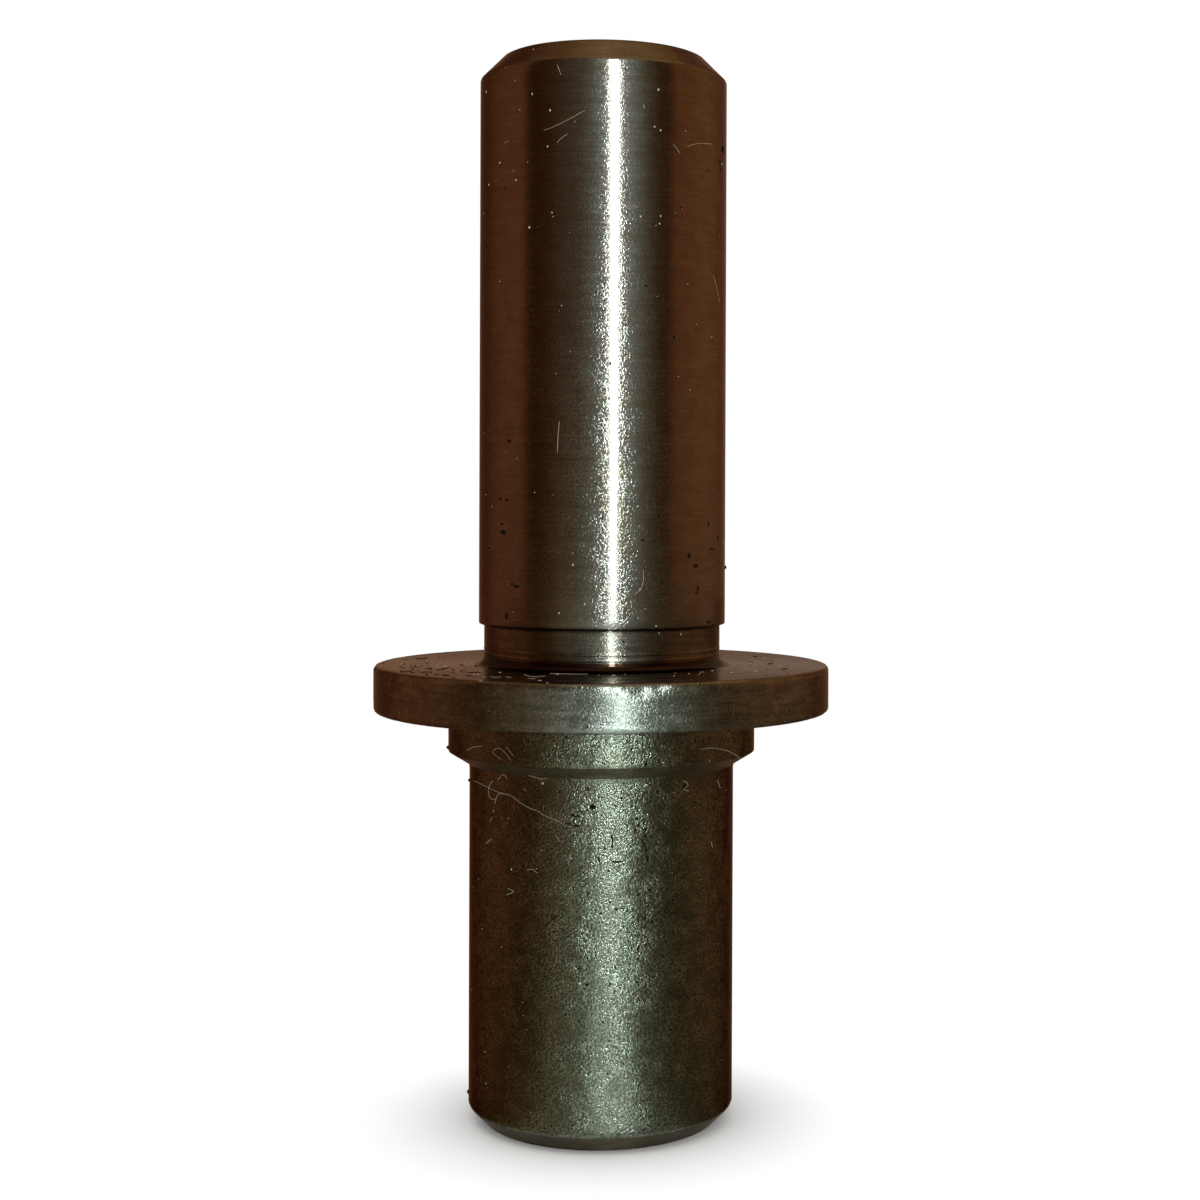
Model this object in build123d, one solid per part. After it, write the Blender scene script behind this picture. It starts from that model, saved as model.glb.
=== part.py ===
from build123d import *
import os

# Flanged pin: one piece of steel, turned from bar, with no joints.
# Going up the axis it has a plain shank, a short cone, a collar, a thin flange, a grinding relief
# and a ground journal. The shank is held in a hole up to the collar or the flange, and what turns
# on the journal seats on the flange's upper face.
#
# Millimetres. +Z runs up the turning axis, and the origin is the centre of the lower end face.

# ---- Driving dimensions ----

# Shank: the fixed end.
shank_diameter = 15.0
shank_length = 20.2  # from the lower end face to the foot of the cone
shank_chamfer = 1.0  # at 45 degrees, leads the shank into its hole

# Cone: widens the shank to the collar.
cone_length = 0.7
cone_foot_radius = 0.4  # left by the nose of the turning tool

# Collar: a low step under the flange.
collar_diameter = 17.4
collar_length = 2.3
collar_edge_break = 0.1

# Flange: locates the pin along its axis.
flange_diameter = 25.8
flange_thickness = 2.6
flange_edge_break = 0.2
flange_root_radius = 0.2  # inside corner between the collar and the flange's underside

# Grinding relief: the groove where the grinding wheel runs out, beside the flange.
relief_depth = 0.3  # below the journal's surface
relief_width = 2.3
relief_corner_radius = 0.6

# Journal: the ground bearing surface.
journal_diameter = 14.0
journal_length = 32.0
journal_edge_break = 0.1
journal_chamfer = 1.3  # at 45 degrees, leads the bearing onto the journal

# ---- Radii and heights that follow from them ----

shank_radius = shank_diameter / 2
collar_radius = collar_diameter / 2
flange_radius = flange_diameter / 2
journal_radius = journal_diameter / 2
relief_radius = journal_radius - relief_depth

lower_end = 0.0
cone_foot = lower_end + shank_length
collar_bottom = cone_foot + cone_length
flange_bottom = collar_bottom + collar_length
flange_top = flange_bottom + flange_thickness
journal_bottom = flange_top + relief_width
upper_end = journal_bottom + journal_length


# ---- The half section, as (radius, height) corners going up from the lower end ----

def shank_corners():
    """The lower end face, its chamfer and the plain shank."""
    return [
        (0, lower_end),
        (shank_radius - shank_chamfer, lower_end),
        (shank_radius, lower_end + shank_chamfer),
        (shank_radius, cone_foot),
    ]


def collar_corners():
    """The collar, from the wide end of the cone to the flange's underside."""
    return [
        (collar_radius, collar_bottom),
        (collar_radius, flange_bottom),
    ]


def flange_corners():
    """The flange's rim."""
    return [
        (flange_radius, flange_bottom),
        (flange_radius, flange_top),
    ]


def relief_corners():
    """The grinding relief, from the flange's upper face to the step under the journal."""
    return [
        (relief_radius, flange_top),
        (relief_radius, journal_bottom),
    ]


def journal_corners():
    """The journal, its chamfer and the upper end face."""
    return [
        (journal_radius, journal_bottom),
        (journal_radius, upper_end - journal_chamfer),
        (journal_radius - journal_chamfer, upper_end),
        (0, upper_end),
    ]


def rounded_corners():
    """The inside corners that the nose of the tool rounds, each with its radius."""
    return [
        ((shank_radius, cone_foot), cone_foot_radius),
        ((collar_radius, flange_bottom), flange_root_radius),
        ((relief_radius, flange_top), relief_corner_radius),
    ]


def broken_corners():
    """The outside corners that a small chamfer breaks, each with its leg."""
    return [
        ((collar_radius, collar_bottom), collar_edge_break),
        ((flange_radius, flange_bottom), flange_edge_break),
        ((flange_radius, flange_top), flange_edge_break),
        ((journal_radius, journal_bottom), journal_edge_break),
    ]


def make_half_section():
    """Draw the outline from the axis outwards, then round and break its corners."""
    outline = [
        *shank_corners(),
        *collar_corners(),
        *flange_corners(),
        *relief_corners(),
        *journal_corners(),
    ]
    with BuildSketch() as half_section:
        with BuildLine():
            Polyline(outline, close=True)
        make_face()
        for corner, radius in rounded_corners():
            fillet(half_section.vertices().sort_by_distance(corner)[0], radius)
        for corner, leg in broken_corners():
            chamfer(half_section.vertices().sort_by_distance(corner)[0], leg)
    return half_section.sketch


def make_flanged_pin():
    """Turn the half section about the axis into the whole pin."""
    return revolve(Plane.XZ * make_half_section(), axis=Axis.Z)


os.makedirs("parts", exist_ok=True)
export_step(make_flanged_pin(), "parts/flanged_pin.step")
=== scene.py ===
# %% [markdown]
# # A flanged pin, turned and ground from steel
# This lesson dresses one machined part. The CAD model is already loaded as a fixed frame, in metres, with
# +Z up the turning axis. The lesson adds a camera, a detailed skin over the CAD solid, oiled-steel
# finishes, some lint, and a small studio.

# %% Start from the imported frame
import math

import bpy
from mathutils import Matrix, Vector, noise


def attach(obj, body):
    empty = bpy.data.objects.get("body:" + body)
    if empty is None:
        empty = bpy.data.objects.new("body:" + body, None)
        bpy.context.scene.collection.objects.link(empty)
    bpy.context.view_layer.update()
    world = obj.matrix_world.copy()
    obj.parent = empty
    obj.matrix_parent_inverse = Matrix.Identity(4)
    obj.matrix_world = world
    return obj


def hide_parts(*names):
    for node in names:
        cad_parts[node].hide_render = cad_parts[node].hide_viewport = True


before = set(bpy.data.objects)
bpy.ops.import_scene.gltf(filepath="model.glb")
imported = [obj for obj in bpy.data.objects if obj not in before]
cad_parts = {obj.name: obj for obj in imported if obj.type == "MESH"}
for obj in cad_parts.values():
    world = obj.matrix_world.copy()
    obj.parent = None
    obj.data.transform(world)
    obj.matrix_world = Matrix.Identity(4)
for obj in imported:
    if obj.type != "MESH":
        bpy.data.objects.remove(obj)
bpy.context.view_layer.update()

MM = 0.001

# %% [markdown]
# ## Camera
# A close-up of a small part is taken from a hand's width away. The lens sits a little above half of the
# pin's height and looks almost level, so that the flange's upper face is seen as a thin ellipse. The pin
# stands low and to the left of the lens's own axis, and the frame is shifted onto it, as when a picture is
# cropped. The axes of the camera are written out as a matrix, because the picture is also turned by a
# quarter of a degree, which is hard to read in Euler angles.

# %% Camera
CAMERA_AT = Vector((0.216, -116.165, 35.300)) * MM
CAMERA_YAW = math.radians(2.355)
CAMERA_PITCH = math.radians(-0.306)
CAMERA_ROLL = math.radians(0.212)

lens = bpy.data.cameras.new("close_up_lens")
lens.sensor_fit = "HORIZONTAL"
lens.sensor_width = 36.0
lens.lens = 61.025
lens.shift_x = -0.075
lens.shift_y = -0.0767
lens.clip_start = 0.01
lens.clip_end = 20.0
camera = bpy.data.objects.new("camera", lens)
bpy.context.scene.collection.objects.link(camera)

forward = Vector((
    math.sin(CAMERA_YAW) * math.cos(CAMERA_PITCH),
    math.cos(CAMERA_YAW) * math.cos(CAMERA_PITCH),
    math.sin(CAMERA_PITCH),
))
level_right = Vector((math.cos(CAMERA_YAW), -math.sin(CAMERA_YAW), 0.0))
level_up = level_right.cross(forward)
right = level_right * math.cos(CAMERA_ROLL) + level_up * math.sin(CAMERA_ROLL)
up = level_up * math.cos(CAMERA_ROLL) - level_right * math.sin(CAMERA_ROLL)
turn = Matrix((right, up, -forward)).transposed().to_4x4()
camera.matrix_world = Matrix.Translation(CAMERA_AT) @ turn
bpy.context.scene.camera = camera
bpy.context.scene.view_settings.view_transform = "Standard"
print("camera at", tuple(round(v, 5) for v in CAMERA_AT), "lens", lens.lens)

# %% [markdown]
# ## The skin of the pin
# The real pin is turned on a lathe, so its whole shape is one profile swept round an axis. In Blender the
# same thing is Spin: draw half of the section as a chain of edges, and turn it once round Z. The CAD model
# has this shape already, but as a few large faces. The skin has an even net of small faces instead, which
# can hold nicks, dents and rounded edges, and it stands in for the CAD node.

# %% The profile's stations, in millimetres
SHANK_R, SHANK_CHAMFER = 7.5, 1.0
CONE_FOOT_Z, COLLAR_BOTTOM_Z = 20.2, 20.9
COLLAR_R = 8.7
FLANGE_BOTTOM_Z, FLANGE_TOP_Z = 23.2, 25.8
FLANGE_R = 12.9
RELIEF_R, RELIEF_CORNER = 6.7, 0.6
JOURNAL_BOTTOM_Z = 28.1
JOURNAL_R, JOURNAL_CHAMFER = 7.0, 1.3
TOP_Z = 60.1

# Each leg ends at (radius, height) and is cut into that many equal steps. The small offsets round the
# edges and the inside corners, and draw two fine tool marks in the relief.
PROFILE = [
    (1.2, 0.0, 1),
    (SHANK_R - SHANK_CHAMFER - 0.08, 0.0, 10),
    (SHANK_R - SHANK_CHAMFER + 0.05, 0.06, 2),
    (SHANK_R - 0.05, SHANK_CHAMFER - 0.06, 8),
    (SHANK_R, SHANK_CHAMFER + 0.08, 2),
    (SHANK_R, CONE_FOOT_Z - 0.2, 88),
    (SHANK_R + 0.05, CONE_FOOT_Z + 0.02, 2),
    (SHANK_R + 0.2, CONE_FOOT_Z + 0.13, 2),
    (COLLAR_R - 0.1, COLLAR_BOTTOM_Z - 0.02, 6),
    (COLLAR_R - 0.02, COLLAR_BOTTOM_Z + 0.03, 1),
    (COLLAR_R, COLLAR_BOTTOM_Z + 0.1, 1),
    (COLLAR_R, FLANGE_BOTTOM_Z - 0.2, 14),
    (COLLAR_R + 0.06, FLANGE_BOTTOM_Z - 0.06, 2),
    (COLLAR_R + 0.2, FLANGE_BOTTOM_Z, 2),
    (FLANGE_R - 0.22, FLANGE_BOTTOM_Z, 10),
    (FLANGE_R - 0.12, FLANGE_BOTTOM_Z + 0.04, 2),
    (FLANGE_R - 0.04, FLANGE_BOTTOM_Z + 0.12, 2),
    (FLANGE_R, FLANGE_BOTTOM_Z + 0.22, 2),
    (FLANGE_R, FLANGE_TOP_Z - 0.22, 16),
    (FLANGE_R - 0.04, FLANGE_TOP_Z - 0.12, 2),
    (FLANGE_R - 0.12, FLANGE_TOP_Z - 0.04, 2),
    (FLANGE_R - 0.22, FLANGE_TOP_Z, 2),
    (RELIEF_R + RELIEF_CORNER, FLANGE_TOP_Z, 16),
    (RELIEF_R + 0.3, FLANGE_TOP_Z + 0.08, 3),
    (RELIEF_R + 0.08, FLANGE_TOP_Z + 0.3, 3),
    (RELIEF_R, FLANGE_TOP_Z + 0.58, 3),
    (RELIEF_R + 0.03, FLANGE_TOP_Z + 0.62, 1),
    (RELIEF_R, FLANGE_TOP_Z + 0.68, 1),
    (RELIEF_R, FLANGE_TOP_Z + 0.90, 2),
    (RELIEF_R + 0.02, FLANGE_TOP_Z + 0.93, 1),
    (RELIEF_R, FLANGE_TOP_Z + 0.97, 1),
    (RELIEF_R, JOURNAL_BOTTOM_Z - 0.02, 9),
    (RELIEF_R + 0.02, JOURNAL_BOTTOM_Z, 1),
    (JOURNAL_R - 0.11, JOURNAL_BOTTOM_Z, 2),
    (JOURNAL_R - 0.03, JOURNAL_BOTTOM_Z + 0.03, 1),
    (JOURNAL_R, JOURNAL_BOTTOM_Z + 0.11, 1),
    (JOURNAL_R, TOP_Z - JOURNAL_CHAMFER - 0.05, 72),
    (JOURNAL_R - 0.04, TOP_Z - JOURNAL_CHAMFER + 0.05, 2),
    (JOURNAL_R - JOURNAL_CHAMFER + 0.06, TOP_Z - 0.05, 8),
    (JOURNAL_R - JOURNAL_CHAMFER - 0.05, TOP_Z, 2),
    (1.2, TOP_Z, 9),
    (0.0, TOP_Z, 1),
]
rows = sum(leg[2] for leg in PROFILE)
print("profile:", len(PROFILE), "legs,", rows, "rows")

# %% Draw the half section as a chain of edges
bpy.ops.object.select_all(action="DESELECT")
bpy.ops.mesh.primitive_plane_add(size=2 * MM, location=(0, 0, 0))
pin = bpy.context.object
pin.name = pin.data.name = "turned_pin"
bpy.ops.object.mode_set(mode="EDIT")
bpy.ops.mesh.select_all(action="SELECT")
bpy.ops.mesh.merge(type="CENTER")
here = Vector((0.0, 0.0))
for radius, height, steps in PROFILE:
    step = (Vector((radius, height)) - here) / steps
    for _ in range(steps):
        move = (step.x * MM, 0.0, step.y * MM)
        bpy.ops.mesh.extrude_region_move(TRANSFORM_OT_translate={"value": move})
    here = Vector((radius, height))

# %% Turn it round the axis
COLUMNS = 288
bpy.ops.mesh.select_all(action="SELECT")
bpy.ops.mesh.spin(steps=COLUMNS, angle=math.tau, center=(0, 0, 0), axis=(0, 0, 1))
bpy.ops.mesh.select_all(action="SELECT")
bpy.ops.mesh.remove_doubles(threshold=0.002 * MM)
bpy.ops.mesh.normals_make_consistent(inside=False)
bpy.ops.object.mode_set(mode="OBJECT")
print("skin:", len(pin.data.vertices), "points,", len(pin.data.polygons), "faces")

# %% [markdown]
# ## Nicks and dents
# A part that has been handled has small blows on its edges and pits in its surface. A sculptor would tap
# them in with a brush. Here each blow has a place, a reach and a depth, and pushes the points near it
# towards the axis, most at its middle. The blows that are written out are the large ones. A seeded random
# scatter adds the small chips along the flange's two edges, which is where such a part gets knocked.

# %% Tap in the blows
def on_wall(radius, angle, height):
    """A point on the pin, its angle counted in degrees from the front, positive to the right."""
    a = math.radians(angle)
    return Vector((radius * math.sin(a), -radius * math.cos(a), height))


def between(low, high):
    """The next random number between two others."""
    return low + (high - low) * noise.random()


# place in mm, reach in mm, depth in mm
BLOWS = [
    (on_wall(FLANGE_R, 6.0, FLANGE_TOP_Z), 0.6, 0.10),
    (on_wall(FLANGE_R, 9.5, FLANGE_TOP_Z), 0.9, 0.16),
    (on_wall(FLANGE_R, 13.0, FLANGE_TOP_Z), 0.7, 0.14),
    (on_wall(FLANGE_R, -22.0, FLANGE_TOP_Z), 0.7, 0.07),
    (on_wall(FLANGE_R, -61.0, FLANGE_TOP_Z), 0.8, 0.08),
    (on_wall(FLANGE_R, 47.0, FLANGE_TOP_Z), 0.7, 0.06),
    (on_wall(FLANGE_R, 160.0, FLANGE_BOTTOM_Z), 0.8, 0.08),
    (on_wall(FLANGE_R, -84.0, FLANGE_BOTTOM_Z), 0.8, 0.07),
    (on_wall(SHANK_R, 118.0, 9.0), 0.5, 0.06),
    (on_wall(SHANK_R, -150.0, 14.0), 0.4, 0.06),
    (on_wall(JOURNAL_R, 70.5, 54.9), 0.5, 0.05),
]
noise.seed_set(11)
for _ in range(56):
    edge = FLANGE_TOP_Z if noise.random() < 0.65 else FLANGE_BOTTOM_Z
    BLOWS.append((on_wall(FLANGE_R, between(-180, 180), edge), between(0.35, 0.6), between(0.02, 0.06)))

for point in pin.data.vertices:
    at = point.co / MM
    out = Vector((at.x, at.y, 0.0))
    if out.length < 1.0:
        continue
    push = 0.0
    for place, reach, depth in BLOWS:
        if abs(at.z - place.z) < reach:
            away = (at - place).length / reach
            if away < 1.0:
                push = max(push, depth * (1.0 - away * away) ** 2)
    if push:
        point.co -= out.normalized() * push * MM

bpy.ops.object.select_all(action="DESELECT")
pin.select_set(True)
bpy.context.view_layer.objects.active = pin
bpy.ops.object.shade_smooth_by_angle(angle=math.radians(32))
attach(pin, "root")
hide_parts("flanged_pin")
print("blows:", len(BLOWS))

# %% [markdown]
# ## Colours and nodes
# A colour is easiest to read as a hex code, and Blender's sockets want linear light, so one function turns
# the one into the other. A second one adds a node with its settings and its links in a single line.

# %% Helpers for materials
def colour(hex_code):
    """An sRGB hex code as a linear colour with full alpha."""
    parts = [int(hex_code[i:i + 2], 16) / 255 for i in (1, 3, 5)]
    linear = [v / 12.92 if v <= 0.04045 else ((v + 0.055) / 1.055) ** 2.4 for v in parts]
    return (*linear, 1.0)


def add(tree, kind, inputs=None, **settings):
    """Add a node. `inputs` maps a socket's name or number to a value or to the socket that feeds it."""
    made = tree.nodes.new(kind)
    for name, value in settings.items():
        setattr(made, name, value)
    for key, value in (inputs or {}).items():
        if isinstance(value, bpy.types.NodeSocket):
            tree.links.new(value, made.inputs[key])
        else:
            made.inputs[key].default_value = value
    return made


def new_material(name):
    """A material with an empty node tree, and that tree."""
    material = bpy.data.materials.new(name)
    material.use_nodes = True
    material.node_tree.nodes.clear()
    return material, material.node_tree


# %% [markdown]
# ## Steel finishes
# The pin is carbon steel under a thin film of oil, with a little brown stain. What tells its zones apart is
# how each was cut: the journal is ground, the relief and the flange are fine turned, the collar and the
# shank are rough turned and a little corroded.
#
# Four patterns make each finish, all in millimetres:
# - grooves, fine across the cut and long round the axis, drawn coarser than real ones, which are too fine
#   to see;
# - facets, the small bumps between the grooves. They tilt the surface by a few degrees, so that a light
#   breaks into sparks at its edges;
# - pits, dark and round, where dirt has filled small holes;
# - blotches, where the oil film is thicker and browner.
#
# Grooves that run round the axis draw a light out along it. That is anisotropy, and its quarter turn sets
# the long way of the highlight across the grooves.

# %% One recipe for all the steel, with the values that each finish changes
# Scales are patterns per millimetre. A noise stays near 0.5, so each range below stretches its middle.
BLOTCH_SCALE = 0.9  # patches of thicker oil, about a millimetre across
PIT_SCALE = 2.6  # room for a pit every 0.4 mm
ROUND_SCALE = 0.35  # a groove runs about 3 mm round the axis before it changes
PIT_DEPTH = 0.03  # mm
PIT_DIRT = "#140E0A"


def turned_steel(name, dark, light, stain, groove, facet, tilt, roughness, film, pits=0.1, stained=0.6,
                 groove_depth=0.0015, anisotropy=0.8, tint="#8A6A50", face=False, grain=0.5, smoothed=0.35,
                 raised=(0.0, 1.0), bands=(), metallic=1.0, worn=(1.0, 1.0)):
    material, tree = new_material(name)
    place = add(tree, "ShaderNodeTexCoord").outputs["Object"]
    # from here on one unit is one millimetre
    mm = add(tree, "ShaderNodeVectorMath", {0: place, 3: 1000.0}, operation="SCALE").outputs[0]
    axes = add(tree, "ShaderNodeSeparateXYZ", {0: mm})
    x, y, z = axes.outputs
    flat = add(tree, "ShaderNodeCombineXYZ", {0: x, 1: y}).outputs[0]
    across = z
    if face:
        across = add(tree, "ShaderNodeVectorMath", {0: flat}, operation="LENGTH").outputs["Value"]
    fine = add(tree, "ShaderNodeMath", {0: across, 1: groove}, operation="MULTIPLY").outputs[0]
    slow = add(tree, "ShaderNodeVectorMath", {0: flat, 3: ROUND_SCALE}, operation="SCALE").outputs[0]
    lift = add(tree, "ShaderNodeCombineXYZ", {2: fine}).outputs[0]
    along = add(tree, "ShaderNodeVectorMath", {0: slow, 1: lift}, operation="ADD").outputs[0]
    grooves = add(tree, "ShaderNodeTexNoise", {"Vector": along, "Scale": 1.0, "Detail": 3.0,
                                               "Roughness": 0.6}).outputs["Fac"]
    facets = add(tree, "ShaderNodeTexNoise", {"Vector": mm, "Scale": facet, "Detail": 1.5,
                                              "Roughness": 0.6}).outputs["Fac"]
    blotches = add(tree, "ShaderNodeTexNoise", {"Vector": mm, "Scale": BLOTCH_SCALE, "Detail": 4.0,
                                                "Roughness": 0.65, "Distortion": 0.4}).outputs["Fac"]
    cells = add(tree, "ShaderNodeTexVoronoi", {"Vector": mm, "Scale": PIT_SCALE})
    chance = add(tree, "ShaderNodeSeparateColor", {0: cells.outputs["Color"]}).outputs[0]
    few = add(tree, "ShaderNodeMath", {0: chance, 1: pits}, operation="LESS_THAN").outputs[0]
    ragged = add(tree, "ShaderNodeMath", {0: facets, 1: 0.7, 2: cells.outputs["Distance"]},
                 operation="MULTIPLY_ADD").outputs[0]
    hole = add(tree, "ShaderNodeMapRange", {0: ragged, 1: 0.44, 2: 0.54, 3: 1.0, 4: 0.0}).outputs[0]
    pit = add(tree, "ShaderNodeMath", {0: few, 1: hole}, operation="MULTIPLY").outputs[0]

    # brightness and tint of the metal
    mark = add(tree, "ShaderNodeMix", {0: grain, 2: grooves, 3: facets}, data_type="FLOAT").outputs[0]
    tone = add(tree, "ShaderNodeMapRange", {0: mark, 1: 0.38, 2: 0.62}).outputs[0]
    metal = add(tree, "ShaderNodeMix", {0: tone, 6: colour(dark), 7: colour(light)},
                data_type="RGBA").outputs[2]
    film_share = add(tree, "ShaderNodeMapRange", {0: blotches, 1: 0.42, 2: 0.66, 4: stained}).outputs[0]
    metal = add(tree, "ShaderNodeMix", {0: film_share, 6: metal, 7: colour(stain)},
                data_type="RGBA").outputs[2]
    # bands: a colour laid over a span of heights, full at the first and gone at the second; on the pin they
    # are painted shade, at the step under the journal and in the corner above the flange, partly also oil
    # stain
    for full_at, none_at, shade in bands:
        near = add(tree, "ShaderNodeMapRange", {0: z, 1: none_at, 2: full_at}).outputs[0]
        metal = add(tree, "ShaderNodeMix", {0: near, 6: metal, 7: colour(shade)},
                    data_type="RGBA").outputs[2]
    metal = add(tree, "ShaderNodeMix", {0: pit, 6: metal, 7: colour(PIT_DIRT)},
                data_type="RGBA").outputs[2]

    # relief: facets first, flatter where the oil is thick and where they are worn towards the upper end,
    # then the grooves and the pits on them
    crisp = add(tree, "ShaderNodeMapRange", {0: blotches, 1: 0.38, 2: 0.58, 3: 1.0, 4: smoothed}).outputs[0]
    raise_of = add(tree, "ShaderNodeMapRange", {0: facets, 1: raised[0], 2: raised[1]}).outputs[0]
    kept = add(tree, "ShaderNodeMapRange", {0: z, 1: 30.0, 2: 55.0, 3: worn[0], 4: worn[1]}).outputs[0]
    crisp = add(tree, "ShaderNodeMath", {0: crisp, 1: kept}, operation="MULTIPLY").outputs[0]
    height = add(tree, "ShaderNodeMath", {0: raise_of, 1: crisp}, operation="MULTIPLY").outputs[0]
    bumps = add(tree, "ShaderNodeBump", {"Strength": 1.0, "Distance": tilt * MM,
                                         "Height": height}).outputs[0]
    bumps = add(tree, "ShaderNodeBump", {"Strength": 1.0, "Distance": groove_depth * MM,
                                         "Height": grooves, "Normal": bumps}).outputs[0]
    bumps = add(tree, "ShaderNodeBump", {"Strength": 1.0, "Distance": PIT_DEPTH * MM, "Height": pit,
                                         "Normal": bumps}, invert=True).outputs[0]
    rough = add(tree, "ShaderNodeMapRange", {0: mark, 1: 0.35, 2: 0.65, 3: roughness[0],
                                             4: roughness[1]}).outputs[0]
    steel = add(tree, "ShaderNodeBsdfPrincipled", {
        "Base Color": metal, "Metallic": metallic, "Roughness": rough, "Normal": bumps,
        "Specular Tint": colour(tint), "Anisotropic": anisotropy, "Anisotropic Rotation": 0.25,
        "Coat Weight": film[0], "Coat Roughness": film[1], "Coat IOR": 1.5,
    })
    add(tree, "ShaderNodeOutputMaterial", {"Surface": steel.outputs[0]})
    return material


# %% The finishes
FINISHES = {
    # ground: smooth and glossy, so a light is one bright line with sparks along its sides
    "ground_journal": turned_steel(
        "oiled_ground_steel", dark="#605C56", light="#74716B", stain="#5A4E40", groove=7.0, facet=8.5,
        tilt=0.0046, roughness=(0.14, 0.20), film=(0.35, 0.05), pits=0.02, stained=0.5, smoothed=0.7,
        groove_depth=0.0006, anisotropy=0.6, raised=(0.50, 0.70), worn=(1.35, 0.52),
        # the band paints shade on the journal's lowest edge, over the step below it, with a little oil
        # stain
        bands=[(28.1, 28.22, "#20140C")]),
    # fine turned: a little duller; its two corners are darkened by painted shade, partly also an oil stain
    # where oil stands
    "relief": turned_steel(
        "oiled_fine_turned_steel", dark="#4C4842", light="#6C6A62", stain="#46382A", groove=6.0, facet=10.0,
        tilt=0.0040, roughness=(0.18, 0.25), film=(0.30, 0.05), stained=0.6, smoothed=0.6, anisotropy=0.6,
        raised=(0.50, 0.74), bands=[(26.28, 26.42, "#200E03"), (28.06, 27.92, "#120905")]),
    # faced: fine rings, seen at a low angle, where it mirrors the walls
    "flange_face": turned_steel(
        "oiled_faced_steel", dark="#5A504A", light="#7A726A", stain="#564839", groove=3.0, facet=4.0,
        tilt=0.003, roughness=(0.17, 0.29), film=(0.0, 0.1), tint="#E2DCD6", face=True, grain=0.3,
        groove_depth=0.002),
    # turned: a soft, even sheen with small sparks
    "flange_rim": turned_steel(
        "oiled_turned_rim_steel", dark="#565853", light="#83867F", stain="#4E4E46", groove=4.0, facet=10.0,
        tilt=0.0075, roughness=(0.23, 0.31), film=(0.25, 0.12), pits=0.05, grain=0.6, smoothed=0.6,
        raised=(0.44, 0.74)),
    # rough turned: every grain breaks the light, so it glitters over a broad band
    "rough": turned_steel(
        "oiled_rough_turned_steel", dark="#484A40", light="#7C8074", stain="#48463A", groove=2.5, facet=8.8,
        tilt=0.0162, roughness=(0.16, 0.25), film=(0.1, 0.15), pits=0.30, groove_depth=0.002,
        anisotropy=0.2, grain=0.9, smoothed=0.45, raised=(0.34, 0.68)),
    # chamfered: dull and dark, with hardly a highlight
    "cone": turned_steel(
        "oiled_chamfered_steel", dark="#3E392C", light="#524E3E", stain="#3A3022", groove=4.0, facet=6.0,
        tilt=0.006, roughness=(0.46, 0.56), film=(0.1, 0.15), pits=0.1, grain=0.6, tint="#A0988A",
        metallic=0.6),
}
print("finishes:", ", ".join(FINISHES))

# %% Give each zone of the pin its finish
pin.data.materials.clear()
ORDER = list(FINISHES)
for name in ORDER:
    pin.data.materials.append(FINISHES[name])

SQUARE, SLOPED = 0.98, 0.5  # how far up a normal points on a face across the axis, and on a cone


def zone_of(at, normal):
    """The finish of a face, from its middle in mm and its normal."""
    if at.z > JOURNAL_BOTTOM_Z - 0.01:
        return "ground_journal" if abs(normal.z) < SQUARE else "flange_face"
    if at.z > FLANGE_TOP_Z - 0.06:
        return "relief" if math.hypot(at.x, at.y) < RELIEF_R + RELIEF_CORNER + 0.02 else "flange_face"
    if at.z > FLANGE_BOTTOM_Z - 0.01:
        return "flange_rim" if math.hypot(at.x, at.y) > FLANGE_R - 0.3 else "flange_face"
    if abs(normal.z) > SQUARE:
        return "flange_face"
    return "cone" if abs(normal.z) > SLOPED else "rough"


counts = dict.fromkeys(ORDER, 0)
for polygon in pin.data.polygons:
    zone = zone_of(polygon.center / MM, polygon.normal)
    polygon.material_index = ORDER.index(zone)
    counts[zone] += 1
print("faces per finish:", counts)

# %% [markdown]
# ## Lint, dust and grime
# An oiled part picks up whatever lands on it. Each fibre is a chain of points laid on the surface,
# smoothed, turned into a curve with a round section, and then into a mesh. Scratches are made in the same
# way: a scratch throws up a thin bright burr, so it is a fine steel thread, half sunk in the surface.
# Cracked dirt and flakes are thick dark threads, sunk deeper, and dust and grime are flattened balls.

# %% Plain materials for what lies on the pin
def plain(name, code, roughness, metallic=0.0, shine=0.5):
    """One colour and one shine, for things too small to show a pattern."""
    material, tree = new_material(name)
    surface = add(tree, "ShaderNodeBsdfPrincipled", {"Base Color": colour(code), "Roughness": roughness,
                                                     "Metallic": metallic, "Specular IOR Level": shine})
    add(tree, "ShaderNodeOutputMaterial", {"Surface": surface.outputs[0]})
    return material


# spun cotton: pale, dull threads
LINT = plain("pale_cotton_lint", "#8C7F6A", 0.8)
# settled dust: paler dots
DUST = plain("pale_dust", "#C0B49C", 0.9)
# dried oil and dirt: nearly black, and porous, so almost without shine
GRIME = plain("dried_oily_grime", "#160C06", 0.9, shine=0.05)
# freshly cut steel: brighter than the oiled skin beside it
BURR = plain("bright_scratched_steel", "#A89A88", 0.45, metallic=0.5)

# %% Lay threads on the surface
STEP = 0.01  # keeps the heights rising where the wall jumps in or out
STATIONS = [
    (0.0, SHANK_R - SHANK_CHAMFER), (SHANK_CHAMFER, SHANK_R), (CONE_FOOT_Z, SHANK_R),
    (COLLAR_BOTTOM_Z, COLLAR_R), (FLANGE_BOTTOM_Z, COLLAR_R),
    (FLANGE_BOTTOM_Z + STEP, FLANGE_R), (FLANGE_TOP_Z, FLANGE_R),
    (FLANGE_TOP_Z + STEP, RELIEF_R + RELIEF_CORNER), (FLANGE_TOP_Z + RELIEF_CORNER, RELIEF_R),
    (JOURNAL_BOTTOM_Z, RELIEF_R), (JOURNAL_BOTTOM_Z + STEP, JOURNAL_R),
    (TOP_Z - JOURNAL_CHAMFER, JOURNAL_R), (TOP_Z, JOURNAL_R - JOURNAL_CHAMFER),
]


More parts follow.
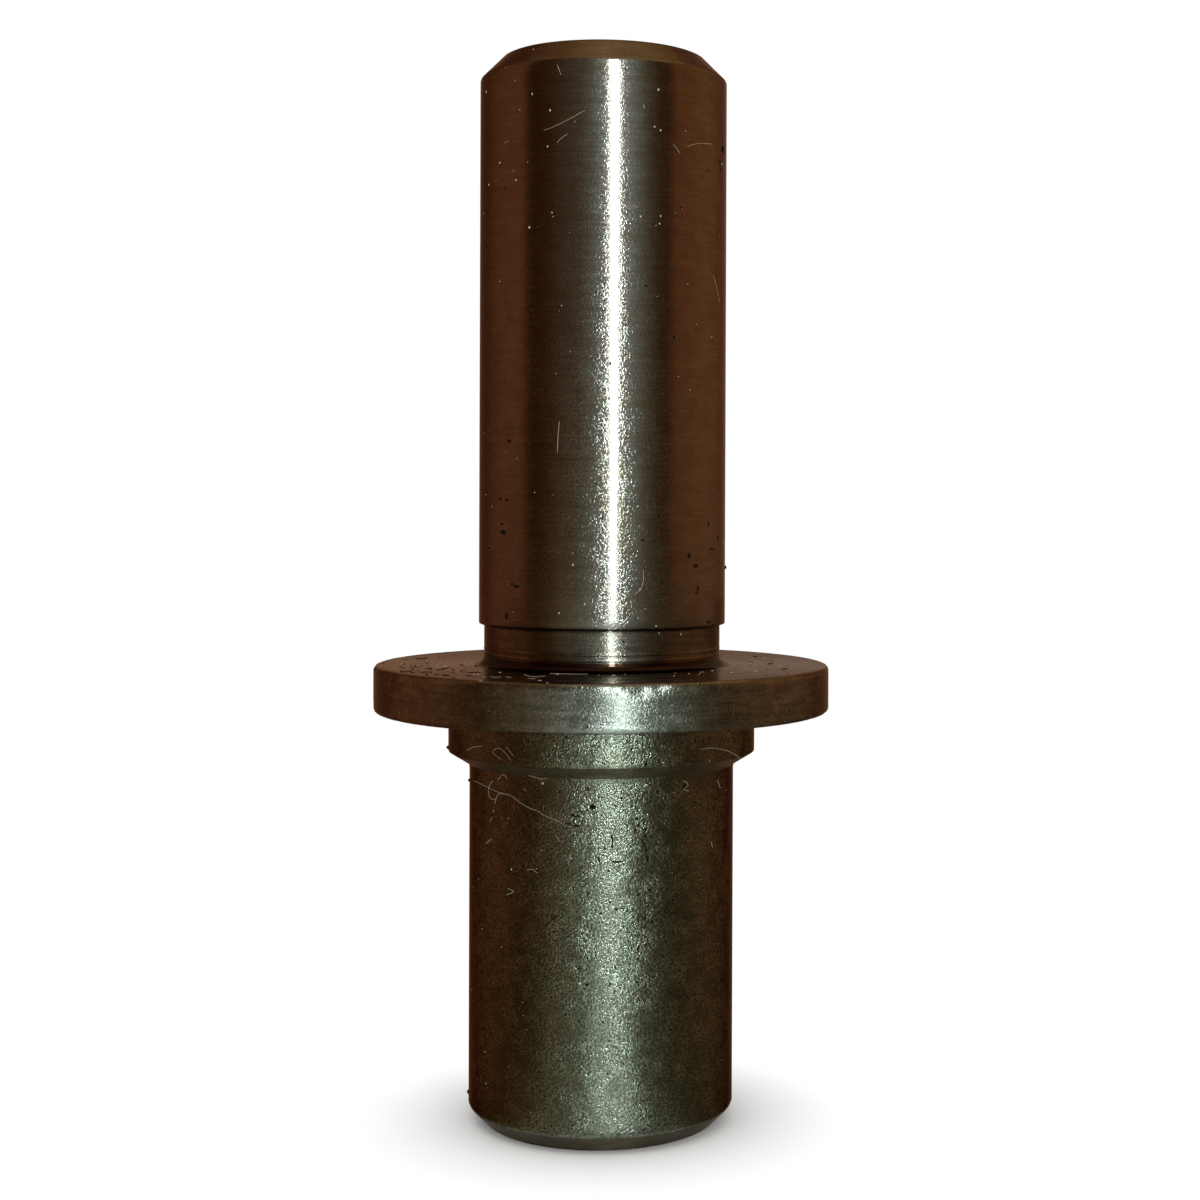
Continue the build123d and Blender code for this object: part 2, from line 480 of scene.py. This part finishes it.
def wall_radius(height):
    """The pin's radius at a height, in mm."""
    for (z0, r0), (z1, r1) in zip(STATIONS, STATIONS[1:]):
        if z0 <= height <= z1:
            return r0 + (r1 - r0) * (height - z0) / (z1 - z0)
    return STATIONS[-1][1]


def smooth(points, pieces=6):
    """A soft path through (angle, height) points: Catmull and Rom's curve."""
    path = []
    ends = [points[0], *points, points[-1]]
    for a, b, c, d in zip(ends, ends[1:], ends[2:], ends[3:]):
        for i in range(pieces):
            t = i / pieces
            path.append(tuple(
                0.5 * (2 * b[k] + (c[k] - a[k]) * t + (2 * a[k] - 5 * b[k] + 4 * c[k] - d[k]) * t * t
                       + (3 * b[k] - a[k] - 3 * c[k] + d[k]) * t ** 3) for k in (0, 1)))
    path.append(points[-1])
    return path


def over_wall(points, above):
    """A path over the wall through (angle, height) points, `above` the surface, in mm."""
    return [on_wall(wall_radius(z) + above, angle, z) for angle, z in smooth(points)]


def over_face(points, above):
    """The same on the flange's upper face, through (angle, radius) points."""
    return [on_wall(radius, angle, FLANGE_TOP_Z + above) for angle, radius in smooth(points)]


def thread(path, thickness):
    """A round thread along a path, in mm."""
    path = [point * MM for point in path]
    bpy.ops.object.select_all(action="DESELECT")
    bpy.ops.mesh.primitive_plane_add(size=0.1 * MM, location=(0, 0, 0))
    made = bpy.context.object
    bpy.ops.object.mode_set(mode="EDIT")
    bpy.ops.mesh.select_all(action="SELECT")
    bpy.ops.mesh.merge(type="CENTER")
    bpy.ops.transform.translate(value=path[0])
    for start, end in zip(path, path[1:]):
        bpy.ops.mesh.extrude_region_move(TRANSFORM_OT_translate={"value": end - start})
    bpy.ops.object.mode_set(mode="OBJECT")
    bpy.ops.object.convert(target="CURVE")
    made.data.bevel_depth = thickness / 2 * MM
    made.data.bevel_resolution = 1
    made.data.use_fill_caps = True
    bpy.ops.object.convert(target="MESH")
    return bpy.context.object


def joined(name, parts, material):
    """Join parts into one piece that rides on the pin."""
    bpy.ops.object.select_all(action="DESELECT")
    for part in parts:
        part.select_set(True)
    bpy.context.view_layer.objects.active = parts[0]
    bpy.ops.object.join()
    bpy.ops.object.transform_apply(location=True, rotation=True, scale=True)
    piece = bpy.context.object
    piece.name = piece.data.name = name
    piece.data.materials.clear()
    piece.data.materials.append(material)
    bpy.ops.object.shade_smooth()
    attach(piece, "root")
    print(name + ":", len(piece.data.polygons), "faces")


# %% Fibres
FIBRES = [
    [(-70.1, 19.47), (-63.0, 19.43), (-55.2, 19.32), (-47.6, 19.16), (-40.7, 19.09), (-36.0, 18.8),
     (-31.1, 18.54), (-27.0, 18.4), (-23.9, 18.19), (-19.6, 18.01), (-15.1, 17.78)],
    [(-48.3, 19.86), (-45.2, 20.18), (-42.6, 19.96)],
    [(-51.9, 19.75), (-54.8, 19.4), (-55.2, 19.03), (-53.3, 18.74), (-49.9, 18.74)],
    [(-45.5, 19.17), (-48.9, 18.97), (-50.5, 18.52)],
    [(-51.5, 18.17), (-51.3, 18.01)],
    [(-52.5, 17.76), (-53.9, 17.47)],
    [(-52.8, 16.55), (-57.4, 16.2)],
    [(-18.8, 17.17), (-17.1, 16.83)],
    [(-57.3, 21.42), (-53.2, 21.65), (-47.6, 21.81)],
    [(-38.3, 21.22), (-41.9, 21.54), (-39.7, 21.78), (-36.8, 21.65), (-33.4, 21.19)],
    [(-35.5, 21.88), (-32.4, 21.45)],
    [(37.9, 21.74), (42.6, 21.74), (51.2, 21.49), (58.6, 21.07), (60.7, 20.86)],
    [(58.0, 19.71), (60.9, 19.18)],
    [(53.3, 16.35), (54.5, 15.99)],
    [(-31.9, 15.17), (-29.2, 15.23), (-26.9, 15.05)],
    [(-42.1, 14.02), (-38.9, 13.91), (-42.7, 13.67)],
    [(36.0, 19.95), (38.5, 19.7), (36.6, 19.45), (39.0, 19.35)],
    [(-30.2, 20.3), (-26.2, 20.15), (-21.7, 20.2)],
    [(120.0, 18.2), (128.0, 18.9), (139.0, 18.6), (150.0, 19.3)],
    [(-160.0, 21.6), (-152.0, 21.9), (-143.0, 21.5)],
]
# mm; a real cotton fibre is nearer 0.02 mm thick, so it is drawn a little thicker than that, to show
FIBRE_WIDTH, FIBRE_ABOVE = 0.030, 0.03
joined("lint", [thread(over_wall(points, FIBRE_ABOVE), FIBRE_WIDTH) for points in FIBRES], LINT)

# %% Scratches
SCRATCHES = [
    [(-27.4, 55.04), (-23.2, 55.16), (-15.8, 55.53), (-8.2, 56.01)],
    [(-20.9, 54.32), (-18.6, 54.58), (-16.0, 54.76)],
    [(-21.0, 58.5), (-19.2, 57.96)],
    [(17.7, 56.41), (18.3, 56.2)],
    [(40.6, 54.4), (46.2, 54.63), (54.8, 54.79), (59.1, 54.82)],
    [(32.5, 54.4), (34.4, 54.23), (36.2, 53.97)],
    [(-50.8, 54.66), (-48.0, 54.72)],
    [(9.4, 50.89), (12.1, 50.86), (15.3, 50.89)],
    [(18.4, 31.33), (18.5, 30.83), (17.2, 30.33), (14.6, 30.08)],
    [(-19.4, 39.37), (-20.0, 38.47), (-20.3, 37.66)],
    [(-3.7, 42.59), (-2.0, 42.19), (-2.7, 41.59)],
    [(-5.0, 41.99), (-3.3, 41.59), (-1.5, 41.29)],
    [(-2.5, 43.2), (-1.2, 42.79), (-0.7, 42.29)],
    [(60.8, 47.56), (64.8, 46.85), (67.8, 46.24)],
    [(150.0, 50.0), (158.0, 49.2), (163.0, 48.9)],
    [(-120.0, 41.0), (-113.0, 41.6), (-104.0, 41.8)],
    [(-170.0, 35.0), (-168.0, 36.2)],
]
BURR_WIDTH = 0.026  # mm
joined("scratches", [thread(over_wall(points, 0.0), BURR_WIDTH) for points in SCRATCHES], BURR)

# %% Cracked dirt on the shank, and crumbs drawn out over the flange by the oil
CRACKS = [
    [(-12.4, 18.28), (-10.8, 18.22), (-8.7, 18.24)],
    [(-14.5, 17.84), (-11.2, 17.73), (-8.3, 17.7)],
    [(4.0, 17.23), (4.7, 16.91), (4.5, 16.51)],
    [(4.5, 15.8), (6.5, 15.78), (8.8, 15.8)],
    [(16.5, 16.96), (18.1, 16.63), (19.1, 16.25)],
    [(19.0, 16.09), (19.3, 15.71)],
    [(-1.1, 16.06), (-0.6, 15.74)],
    [(14.3, 17.57), (13.8, 17.22)],
    [(-6.4, 18.49), (-5.4, 18.59)],
    [(7.9, 19.25), (8.5, 19.12)],
    [(28.0, 13.19), (30.5, 12.79), (33.0, 12.89)],
    [(30.0, 8.58), (33.5, 8.19), (37.0, 8.34), (40.0, 7.99)],
    [(-24.2, 12.18), (-20.7, 12.58), (-18.2, 12.88)],
    [(-39.2, 14.89), (-36.7, 14.79)],
    [(160.0, 12.0), (164.0, 12.6), (170.0, 12.4)],
    [(-128.0, 9.0), (-125.0, 9.3), (-123.5, 9.1)],
]
CRACK_WIDTH, CRACK_SUNK = 0.11, -0.03  # mm
cracks = [thread(over_wall(points, CRACK_SUNK), CRACK_WIDTH) for points in CRACKS]
joined("cracked_dirt", cracks, GRIME)
CRUMBS = [
    [(-35.2, 10.85), (-34.0, 10.84)],
    [(-34.3, 10.44), (-31.3, 10.72), (-30.9, 10.33)],
    [(-29.6, 10.2), (-27.2, 10.37)],
    [(-29.2, 12.9), (-28.3, 12.9)],
    [(-28.8, 8.61), (-22.0, 9.5), (-19.4, 8.96)],
    [(-21.4, 10.53), (-18.8, 10.73)],
    [(-22.2, 7.38), (-18.2, 7.38), (-13.7, 7.38), (-9.7, 7.38)],
    [(-10.8, 7.38), (-7.9, 7.38), (-5.8, 7.38)],
    [(9.7, 7.38), (10.0, 7.38)],
    [(15.8, 7.38), (15.8, 7.38)],
    [(30.8, 7.69), (29.9, 8.05)],
    [(34.5, 9.13), (41.7, 8.09), (42.6, 8.21)],
    [(-12.8, 12.75), (-12.1, 12.77)],
    [(95.0, 8.8), (99.0, 8.6)],
    [(-140.0, 9.0), (-133.0, 9.4)],
]
joined("crumbs", [thread(over_face(points, 0.01), FIBRE_WIDTH) for points in CRUMBS], LINT)
FLAKES = [
    [(-64.0, 12.14), (-61.6, 12.12), (-61.8, 11.8), (-58.1, 11.95)],
    [(-57.7, 11.48), (-58.4, 11.1), (-56.8, 10.97)],
    [(-52.5, 11.81), (-50.3, 12.01)],
    [(-62.8, 10.09), (-64.9, 9.67), (-69.3, 9.18)],
    [(-81.2, 8.07), (-79.1, 7.93)],
    [(-56.6, 9.18), (-55.7, 9.2)],
    [(-49.6, 9.46), (-47.8, 9.22)],
    [(-49.0, 9.14), (-47.1, 8.9)],
    [(-77.3, 11.46), (-76.5, 11.42)],
    [(-81.0, 10.59), (-77.4, 10.63)],
    [(-67.7, 10.99), (-67.5, 10.89)],
    [(-69.4, 10.17), (-69.8, 10.0)],
    [(-66.6, 11.3), (-67.4, 11.17)],
    [(-50.5, 11.49), (-49.2, 11.45)],
    [(-46.1, 11.59), (-44.3, 11.55)],
    [(-41.1, 10.89), (-39.6, 10.73)],
    [(-74.5, 7.38), (-71.8, 7.38)],
    [(-62.8, 9.25), (-63.2, 9.08)],
    [(-70.8, 9.07), (-71.4, 8.94)],
    [(118.9, 10.3), (116.5, 10.29)],
    [(87.1, 9.5), (88.8, 9.71)],
    [(67.9, 10.74), (70.7, 10.85)],
    [(-110.0, 10.9), (-105.0, 11.2)],
    [(140.0, 9.8), (147.0, 9.6), (152.0, 9.9)],
    [(-160.0, 11.4), (-152.0, 11.5)],
]
FLAKE_WIDTH, FLAKE_SUNK = 0.15, -0.04  # mm
flakes = [thread(over_face(points, FLAKE_SUNK), FLAKE_WIDTH) for points in FLAKES]
joined("dark_flakes", flakes, GRIME)

# %% Dust and grime: small flattened balls, sunk a little in the oil
def speck(angle, height, width, tall, thick, radius=None):
    """A flattened ball on the wall, or at a radius on the flange's face, with its sizes in mm."""
    on_face = radius is not None
    at = on_wall(radius if on_face else wall_radius(height), angle, height)
    size = (width / 2, tall / 2, thick / 2) if on_face else (width / 2, thick / 2, tall / 2)
    bpy.ops.mesh.primitive_ico_sphere_add(subdivisions=1, radius=1.0, location=at * MM,
                                          rotation=(0, 0, math.radians(angle)),
                                          scale=[v * MM for v in size])
    return bpy.context.object


DUST_AT = [
    (26.0, 55.09), (23.0, 55.25), (24.9, 57.27), (16.6, 50.38), (26.2, 50.47), (25.7, 50.05),
    (-23.2, 50.58), (-25.5, 54.15), (-54.5, 53.61), (-42.8, 52.51), (-33.5, 57.06), (-69.1, 57.8),
    (-39.1, 59.69), (-24.3, 56.08), (-65.3, 52.57), (-34.8, 49.86), (-24.8, 19.9), (-40.3, 15.08),
    (-1.2, 41.99), (-2.3, 42.69), (71.0, 53.97), (-12.9, 31.64), (-7.5, 29.53), (-19.3, 29.03),
    (24.7, 28.32), (27.5, 27.92), (40.1, 27.81), (16.9, 30.33),
]
FINE_DUST, FACE_DUST = 150, 46  # scattered ones, on the walls and on the flange
JOURNAL_SPAN, SHANK_SPAN = (28.4, 59.2), (1.2, 22.8)  # heights that fine dust lies at, in mm
noise.seed_set(23)
specks = [speck(a, z, between(0.08, 0.13), between(0.08, 0.16), 0.04) for a, z in DUST_AT]
for _ in range(FINE_DUST):
    low, high = JOURNAL_SPAN if noise.random() < 0.55 else SHANK_SPAN
    angle, height = between(-180, 180), between(low, high)
    specks.append(speck(angle, height, between(0.03, 0.07), between(0.03, 0.07), 0.03))
for _ in range(FACE_DUST):
    radius = between(7.2, 9.6) if noise.random() < 0.6 else between(9.6, 12.5)
    angle = between(-180, 180)
    specks.append(speck(angle, FLANGE_TOP_Z, between(0.06, 0.30), between(0.05, 0.12), 0.04, radius))
joined("dust", specks, DUST)

# angle, height, then the spot's width, height and thickness; the first four stick out at the pin's sides
GRIME_AT = [
    (-86.0, 21.08, 0.22, 0.25, 0.25), (-86.5, 19.2, 0.16, 0.20, 0.20), (-86.5, 1.5, 0.20, 0.30, 0.20),
    (88.0, 31.3, 0.10, 0.25, 0.20), (37.2, 19.63, 0.22, 0.26, 0.06), (-50.4, 52.12, 0.10, 0.20, 0.03),
    (-152.0, 45.0, 0.34, 0.24, 0.04), (130.0, 38.0, 0.26, 0.36, 0.04), (-118.0, 33.0, 0.40, 0.22, 0.04),
    (101.0, 30.5, 0.22, 0.40, 0.04), (-165.0, 30.2, 0.26, 0.30, 0.04), (-3.5, 18.73, 0.37, 0.31, 0.06),
    (-0.9, 19.24, 0.14, 0.14, 0.05), (1.5, 16.49, 0.14, 0.16, 0.05), (20.4, 14.21, 0.16, 0.16, 0.05),
    (28.0, 14.13, 0.17, 0.16, 0.05), (36.9, 19.58, 0.25, 0.26, 0.06), (18.4, 17.09, 0.18, 0.17, 0.05),
    (8.5, 19.2, 0.12, 0.17, 0.05), (-46.8, 38.33, 0.42, 0.23, 0.04), (-53.0, 35.16, 0.38, 0.15, 0.04),
    (-48.5, 35.11, 0.34, 0.15, 0.04), (-51.7, 33.79, 0.32, 0.17, 0.04),
    (-51.0, 33.35, 0.64, 0.26, 0.04), (-41.8, 30.41, 0.50, 0.22, 0.04),
    (-44.5, 30.53, 0.24, 0.17, 0.04), (-48.2, 28.77, 0.34, 0.46, 0.04),
    (-63.6, 32.44, 0.38, 0.14, 0.03), (42.7, 32.11, 0.31, 0.34, 0.04), (46.9, 31.53, 0.50, 0.23, 0.04),
    (48.7, 30.29, 0.21, 0.29, 0.04), (47.6, 30.07, 0.19, 0.20, 0.04), (57.0, 33.79, 0.21, 0.31, 0.03),
    (66.8, 32.99, 0.23, 0.34, 0.03), (60.2, 32.43, 0.57, 0.11, 0.03), (57.3, 28.39, 0.53, 0.17, 0.04),
    (18.1, 32.98, 0.24, 0.13, 0.03), (76.7, 27.89, 0.38, 0.14, 0.04), (68.0, 53.97, 0.25, 0.40, 0.04),
    (73.4, 54.8, 0.28, 0.46, 0.05), (68.8, 53.59, 0.20, 0.23, 0.03),
]
FRONT_GRIME, FACE_GRIME = 12, 60  # scattered over the flange, at its front left and all round
noise.seed_set(31)
spots = [speck(*values) for values in GRIME_AT]
for _ in range(FRONT_GRIME):
    angle = between(-92, -34)
    size = (between(0.15, 0.55), between(0.12, 0.3), 0.05)
    spots.append(speck(angle, FLANGE_TOP_Z, *size, between(9.6, 12.4)))
for _ in range(FACE_GRIME):
    angle = between(-180, 180)
    size = (between(0.08, 0.3), between(0.08, 0.2), 0.04)
    spots.append(speck(angle, FLANGE_TOP_Z, *size, between(7.3, 12.4)))
joined("grime", spots, GRIME)

# %% [markdown]
# ## Studio
# Steel shows what stands round it. A plain pale floor and a white world keep the picture clean, and cards
# round the pin, which the camera doesn't see, give the steel something to mirror: warm brown at the sides
# and the back, a darker brown beside the light, and a brown ceiling. The key light is a tall strip softbox
# in front, with its glare on the table below it. It is seen by the steel only, and two soft lamps and the
# world give the plain light that all the rest is seen by.

# %% Floor
def looked_at(tree):
    """1 for a ray that sees or mirrors a surface, 0 for one that gathers light for the object."""
    rays = add(tree, "ShaderNodeLightPath").outputs
    seen = rays["Is Camera Ray"]
    for kind in ("Is Glossy Ray", "Is Transmission Ray"):
        seen = add(tree, "ShaderNodeMath", {0: seen, 1: rays[kind]}, operation="MAXIMUM").outputs[0]
    return seen


FLOOR_RADIUS = 4.0  # metres, as are the radii between which the contact shadow fades into white
SHADOW_FROM, SHADOW_TO = 0.0074, 0.0135
bpy.ops.object.select_all(action="DESELECT")
bpy.ops.mesh.primitive_circle_add(vertices=96, radius=FLOOR_RADIUS, fill_type="NGON", location=(0, 0, 0))
floor = bpy.context.object
floor.name = floor.data.name = "floor"
# matt paper: an even white that takes a soft shadow
material, tree = new_material("matt_white_paper")
place = add(tree, "ShaderNodeTexCoord").outputs["Object"]
reach = add(tree, "ShaderNodeVectorMath", {0: place}, operation="LENGTH").outputs["Value"]
fade = add(tree, "ShaderNodeMapRange", {0: reach, 1: SHADOW_FROM, 2: SHADOW_TO}).outputs[0]
share = add(tree, "ShaderNodeMath", {0: looked_at(tree), 1: fade}, operation="MULTIPLY").outputs[0]
paper = add(tree, "ShaderNodeBsdfDiffuse", {"Color": colour("#F8F8F6")}).outputs[0]
white = add(tree, "ShaderNodeEmission", {"Color": (1, 1, 1, 1), "Strength": 1.0}).outputs[0]
mixed = add(tree, "ShaderNodeMixShader", {0: share, 1: paper, 2: white}).outputs[0]
add(tree, "ShaderNodeOutputMaterial", {"Surface": mixed})
floor.data.materials.append(material)
print("floor: radius", FLOOR_RADIUS, "m")

# %% World
WORLD_LIGHT = 0.92  # what the object gets; what is seen is plain white, at 1
world = bpy.data.worlds.new("white_studio")
bpy.context.scene.world = world
world.use_nodes = True
tree = world.node_tree
tree.nodes.clear()
strength = add(tree, "ShaderNodeMapRange", {0: looked_at(tree), 3: WORLD_LIGHT, 4: 1.0}).outputs[0]
sky = add(tree, "ShaderNodeBackground", {"Color": (1, 1, 1, 1), "Strength": strength}).outputs[0]
add(tree, "ShaderNodeOutputWorld", {"Surface": sky})
print("world light:", WORLD_LIGHT)

# %% Cards that only the steel sees
# Colour by direction round the pin, in degrees from the front, positive to the right.
WALL_BANDS = [
    (-180, "#A2826E"), (-172, "#947054"), (-160, "#8A6244"), (-110, "#A86C48"), (-81, "#AA6E4A"),
    (-71, "#5E3822"), (-64, "#5A341E"), (-50, "#644430"), (-40, "#7C5C48"), (-21, "#887864"),
    (-10, "#ACACA0"), (-2, "#D8DED8"), (24, "#E0E6E0"), (32, "#BCBCAC"), (40, "#94886E"),
    (52, "#6C5036"), (62, "#664830"), (71, "#AA7045"), (90, "#B47848"), (134, "#C8986A"),
    (160, "#B08660"), (172, "#947E70"), (180, "#A2826E"),
]
TABLE_BANDS = [
    (-180, "#96664A"), (-146, "#9A6A48"), (-115, "#A86C4C"), (-92, "#865639"), (-78, "#7A5034"),
    (-66, "#6A482C"), (-51, "#775F41"), (-40, "#A08C68"), (-28, "#AEA48C"), (-13, "#C9CDC0"),
    (-1, "#E8F2EE"), (14, "#DCE6E0"), (22, "#B8BEB2"), (38, "#8E8C78"), (52, "#766A52"),
    (66, "#72604A"), (80, "#7C644A"), (91, "#856448"), (110, "#937056"), (150, "#A07858"),
    (180, "#96664A"),
]
WALL_RADIUS, WALL_HEIGHT = 0.60, 0.75  # metres
WALL_SUNK = 0.002  # how far its foot stands below the table
TABLE_CARD_HOLE = 0.0085  # its inner radius; inside it the shank's foot mirrors the paper
TABLE_CARD_LIFT, GLARE_LIFT = 0.0002, 0.0004  # above the floor, so that no two share a plane


def card_material(name, bands, angle_of):
    """A glow whose colour runs through bands, one for each (place from 0 to 1, colour)."""
    material, tree = new_material(name)
    place = add(tree, "ShaderNodeTexCoord").outputs["Object"]
    axes = add(tree, "ShaderNodeSeparateXYZ", {0: place})
    ramp = add(tree, "ShaderNodeValToRGB", {0: angle_of(tree, axes)})
    stops = ramp.color_ramp.elements
    while len(stops) > 1:
        stops.remove(stops[0])
    stops[0].position = bands[0][0]
    stops[0].color = colour(bands[0][1])
    for position, code in bands[1:]:
        stops.new(position).color = colour(code)
    glow = add(tree, "ShaderNodeEmission", {"Color": ramp.outputs[0], "Strength": 1.0}).outputs[0]
    add(tree, "ShaderNodeOutputMaterial", {"Surface": glow})
    return material


def by_direction(bands):
    """Bands with places from 0 to 1 instead of degrees from -180 to 180."""
    return [((degrees + 180) / 360, code) for degrees, code in bands]


def round_the_pin(tree, axes):
    """From 0 to 1 once round the axis, with the front in the middle."""
    back = add(tree, "ShaderNodeMath", {0: axes.outputs[1], 1: -1.0}, operation="MULTIPLY").outputs[0]
    angle = add(tree, "ShaderNodeMath", {0: axes.outputs[0], 1: back}, operation="ARCTAN2").outputs[0]
    return add(tree, "ShaderNodeMapRange", {0: angle, 1: -math.pi, 2: math.pi}).outputs[0]


def left_to_right(tree, axes):
    """From 0 to 1 across the ceiling."""
    span = {0: axes.outputs[0], 1: -WALL_RADIUS, 2: WALL_RADIUS}
    return add(tree, "ShaderNodeMapRange", span).outputs[0]


CEILING_BANDS = [(0.0, "#683E26"), (0.35, "#B88C60"), (0.5, "#E6BE8C"), (0.65, "#D6B07C"), (1.0, "#D6A468")]
wall_card = card_material("brown_wall_card", by_direction(WALL_BANDS), round_the_pin)
table_card = card_material("brown_table_card", by_direction(TABLE_BANDS), round_the_pin)
ceiling_card = card_material("brown_ceiling_card", CEILING_BANDS, left_to_right)

bpy.ops.object.select_all(action="DESELECT")
bpy.ops.mesh.primitive_cylinder_add(vertices=96, radius=WALL_RADIUS, depth=WALL_HEIGHT,
                                    end_fill_type="NOTHING", location=(0, 0, WALL_HEIGHT / 2 - WALL_SUNK))
wall = bpy.context.object
bpy.ops.object.transform_apply(location=True)
wall.name = wall.data.name = "side_cards"
wall.data.materials.append(wall_card)

bpy.ops.object.select_all(action="DESELECT")
bpy.ops.mesh.primitive_circle_add(vertices=96, radius=WALL_RADIUS, fill_type="NGON", location=(0, 0, 0))
apron = bpy.context.object
bpy.ops.object.mode_set(mode="EDIT")
bpy.ops.mesh.select_all(action="SELECT")
bpy.ops.mesh.inset(thickness=WALL_RADIUS - TABLE_CARD_HOLE)
bpy.ops.mesh.delete(type="FACE")
bpy.ops.mesh.select_all(action="SELECT")
bpy.ops.transform.translate(value=(0, 0, TABLE_CARD_LIFT))
bpy.ops.object.mode_set(mode="OBJECT")
apron.name = apron.data.name = "table_cards"
apron.data.materials.append(table_card)

bpy.ops.object.select_all(action="DESELECT")
bpy.ops.mesh.primitive_circle_add(vertices=96, radius=WALL_RADIUS, fill_type="NGON",
                                  location=(0, 0, WALL_HEIGHT - WALL_SUNK))
ceiling = bpy.context.object
bpy.ops.object.transform_apply(location=True)
ceiling.name = ceiling.data.name = "ceiling_card"
ceiling.data.materials.append(ceiling_card)
print("cards:", wall.name, apron.name, ceiling.name)

# %% The strip light's glare on the table, brighter where it is seen at a lower angle
STRIP_AZIMUTH = 10.0
GLARE_AZIMUTH = STRIP_AZIMUTH - 2.5
GLARE = [(0.02, 1.8), (0.12, 2.6), (0.24, 4.0), (0.36, 20.0), (0.46, 40.0)]  # metres from the pin, strength
GLARE_WIDTH, GLARE_LENGTH, GLARE_MIDDLE = 0.026, 0.41, 0.255  # metres
TIP_LENGTH, TIP_SHARE = 0.040, 0.2  # towards the pin it narrows to a fifth of its width
glare_material, tree = new_material("table_glare")
place = add(tree, "ShaderNodeTexCoord").outputs["Object"]
away = add(tree, "ShaderNodeVectorMath", {0: place}, operation="LENGTH").outputs["Value"]
level = None
for (near, dim), (far, bright) in zip(GLARE, GLARE[1:]):
    step = add(tree, "ShaderNodeMapRange", {0: away, 1: near, 2: far, 3: 0.0, 4: bright - dim}).outputs[0]
    level = step if level is None else add(tree, "ShaderNodeMath", {0: level, 1: step}).outputs[0]
level = add(tree, "ShaderNodeMath", {0: level, 1: GLARE[0][1]}).outputs[0]
glow = add(tree, "ShaderNodeEmission", {"Color": colour("#EEFFF8"), "Strength": level}).outputs[0]
add(tree, "ShaderNodeOutputMaterial", {"Surface": glow})

bpy.ops.object.select_all(action="DESELECT")
bpy.ops.mesh.primitive_plane_add(size=1.0, location=(0, 0, 0))
glare = bpy.context.object
glare.name = glare.data.name = "table_glare"
near_end = GLARE_LENGTH / 2 - GLARE_MIDDLE
bpy.ops.object.mode_set(mode="EDIT")
bpy.ops.mesh.select_all(action="SELECT")
bpy.ops.transform.resize(value=(GLARE_WIDTH, GLARE_LENGTH, 1.0))
bpy.ops.transform.translate(value=(0, -GLARE_MIDDLE, GLARE_LIFT))
bpy.ops.mesh.select_all(action="DESELECT")
bpy.ops.mesh.select_mode(type="EDGE")
bpy.ops.object.mode_set(mode="OBJECT")
for edge in glare.data.edges:
    edge.select = all(glare.data.vertices[v].co.y > near_end - 0.01 for v in edge.vertices)
bpy.ops.object.mode_set(mode="EDIT")
bpy.ops.mesh.extrude_region_move(TRANSFORM_OT_translate={"value": (0, TIP_LENGTH, 0)})
bpy.ops.transform.resize(value=(TIP_SHARE, 1.0, 1.0))
bpy.ops.mesh.select_all(action="SELECT")
bpy.ops.transform.rotate(value=-math.radians(GLARE_AZIMUTH), orient_axis="Z",
                         center_override=(0, 0, 0))
bpy.ops.object.mode_set(mode="OBJECT")
print("glare:", [[round(v, 3) for v in point.co] for point in glare.data.vertices])
glare.data.materials.append(glare_material)

for card in (wall, apron, ceiling, glare):
    card.visible_camera = False
    card.visible_diffuse = False
    card.visible_shadow = False
    card.visible_transmission = False

# %% Lamps
LAMP_AIM = Vector((0, 0, 0.03))  # the middle of the pin


def softbox(name, azimuth, elevation, distance, width, height, power, tone="#FFFFFF"):
    """A rectangular lamp that faces the pin, its azimuth counted as for the cards."""
    lamp = bpy.data.lights.new(name, "AREA")
    lamp.shape = "RECTANGLE"
    lamp.size, lamp.size_y = width, height
    lamp.energy = power
    lamp.color = colour(tone)[:3]
    box = bpy.data.objects.new(name, lamp)
    a, e = math.radians(azimuth), math.radians(elevation)
    offset = Vector((math.sin(a) * math.cos(e), -math.cos(a) * math.cos(e), math.sin(e))) * distance
    box.location = LAMP_AIM + offset
    box.rotation_euler = offset.to_track_quat("Z", "Y").to_euler()
    box.visible_camera = False
    bpy.context.scene.collection.objects.link(box)
    print(name, "radiance %.2f" % (power / (math.pi * width * height)))
    return box


strip = softbox("strip_softbox", azimuth=STRIP_AZIMUTH, elevation=16.0, distance=0.50, width=0.040,
                height=0.34, power=2.2, tone="#EEFFFF")
strip.visible_diffuse = False
front = softbox("front_softbox", azimuth=STRIP_AZIMUTH, elevation=20.0, distance=0.50, width=0.30,
                height=0.30, power=0.35)
overhead = softbox("overhead_softbox", azimuth=-30.0, elevation=65.0, distance=0.55, width=0.35,
                   height=0.35, power=0.35)
for lamp in (front, overhead):
    lamp.visible_glossy = False
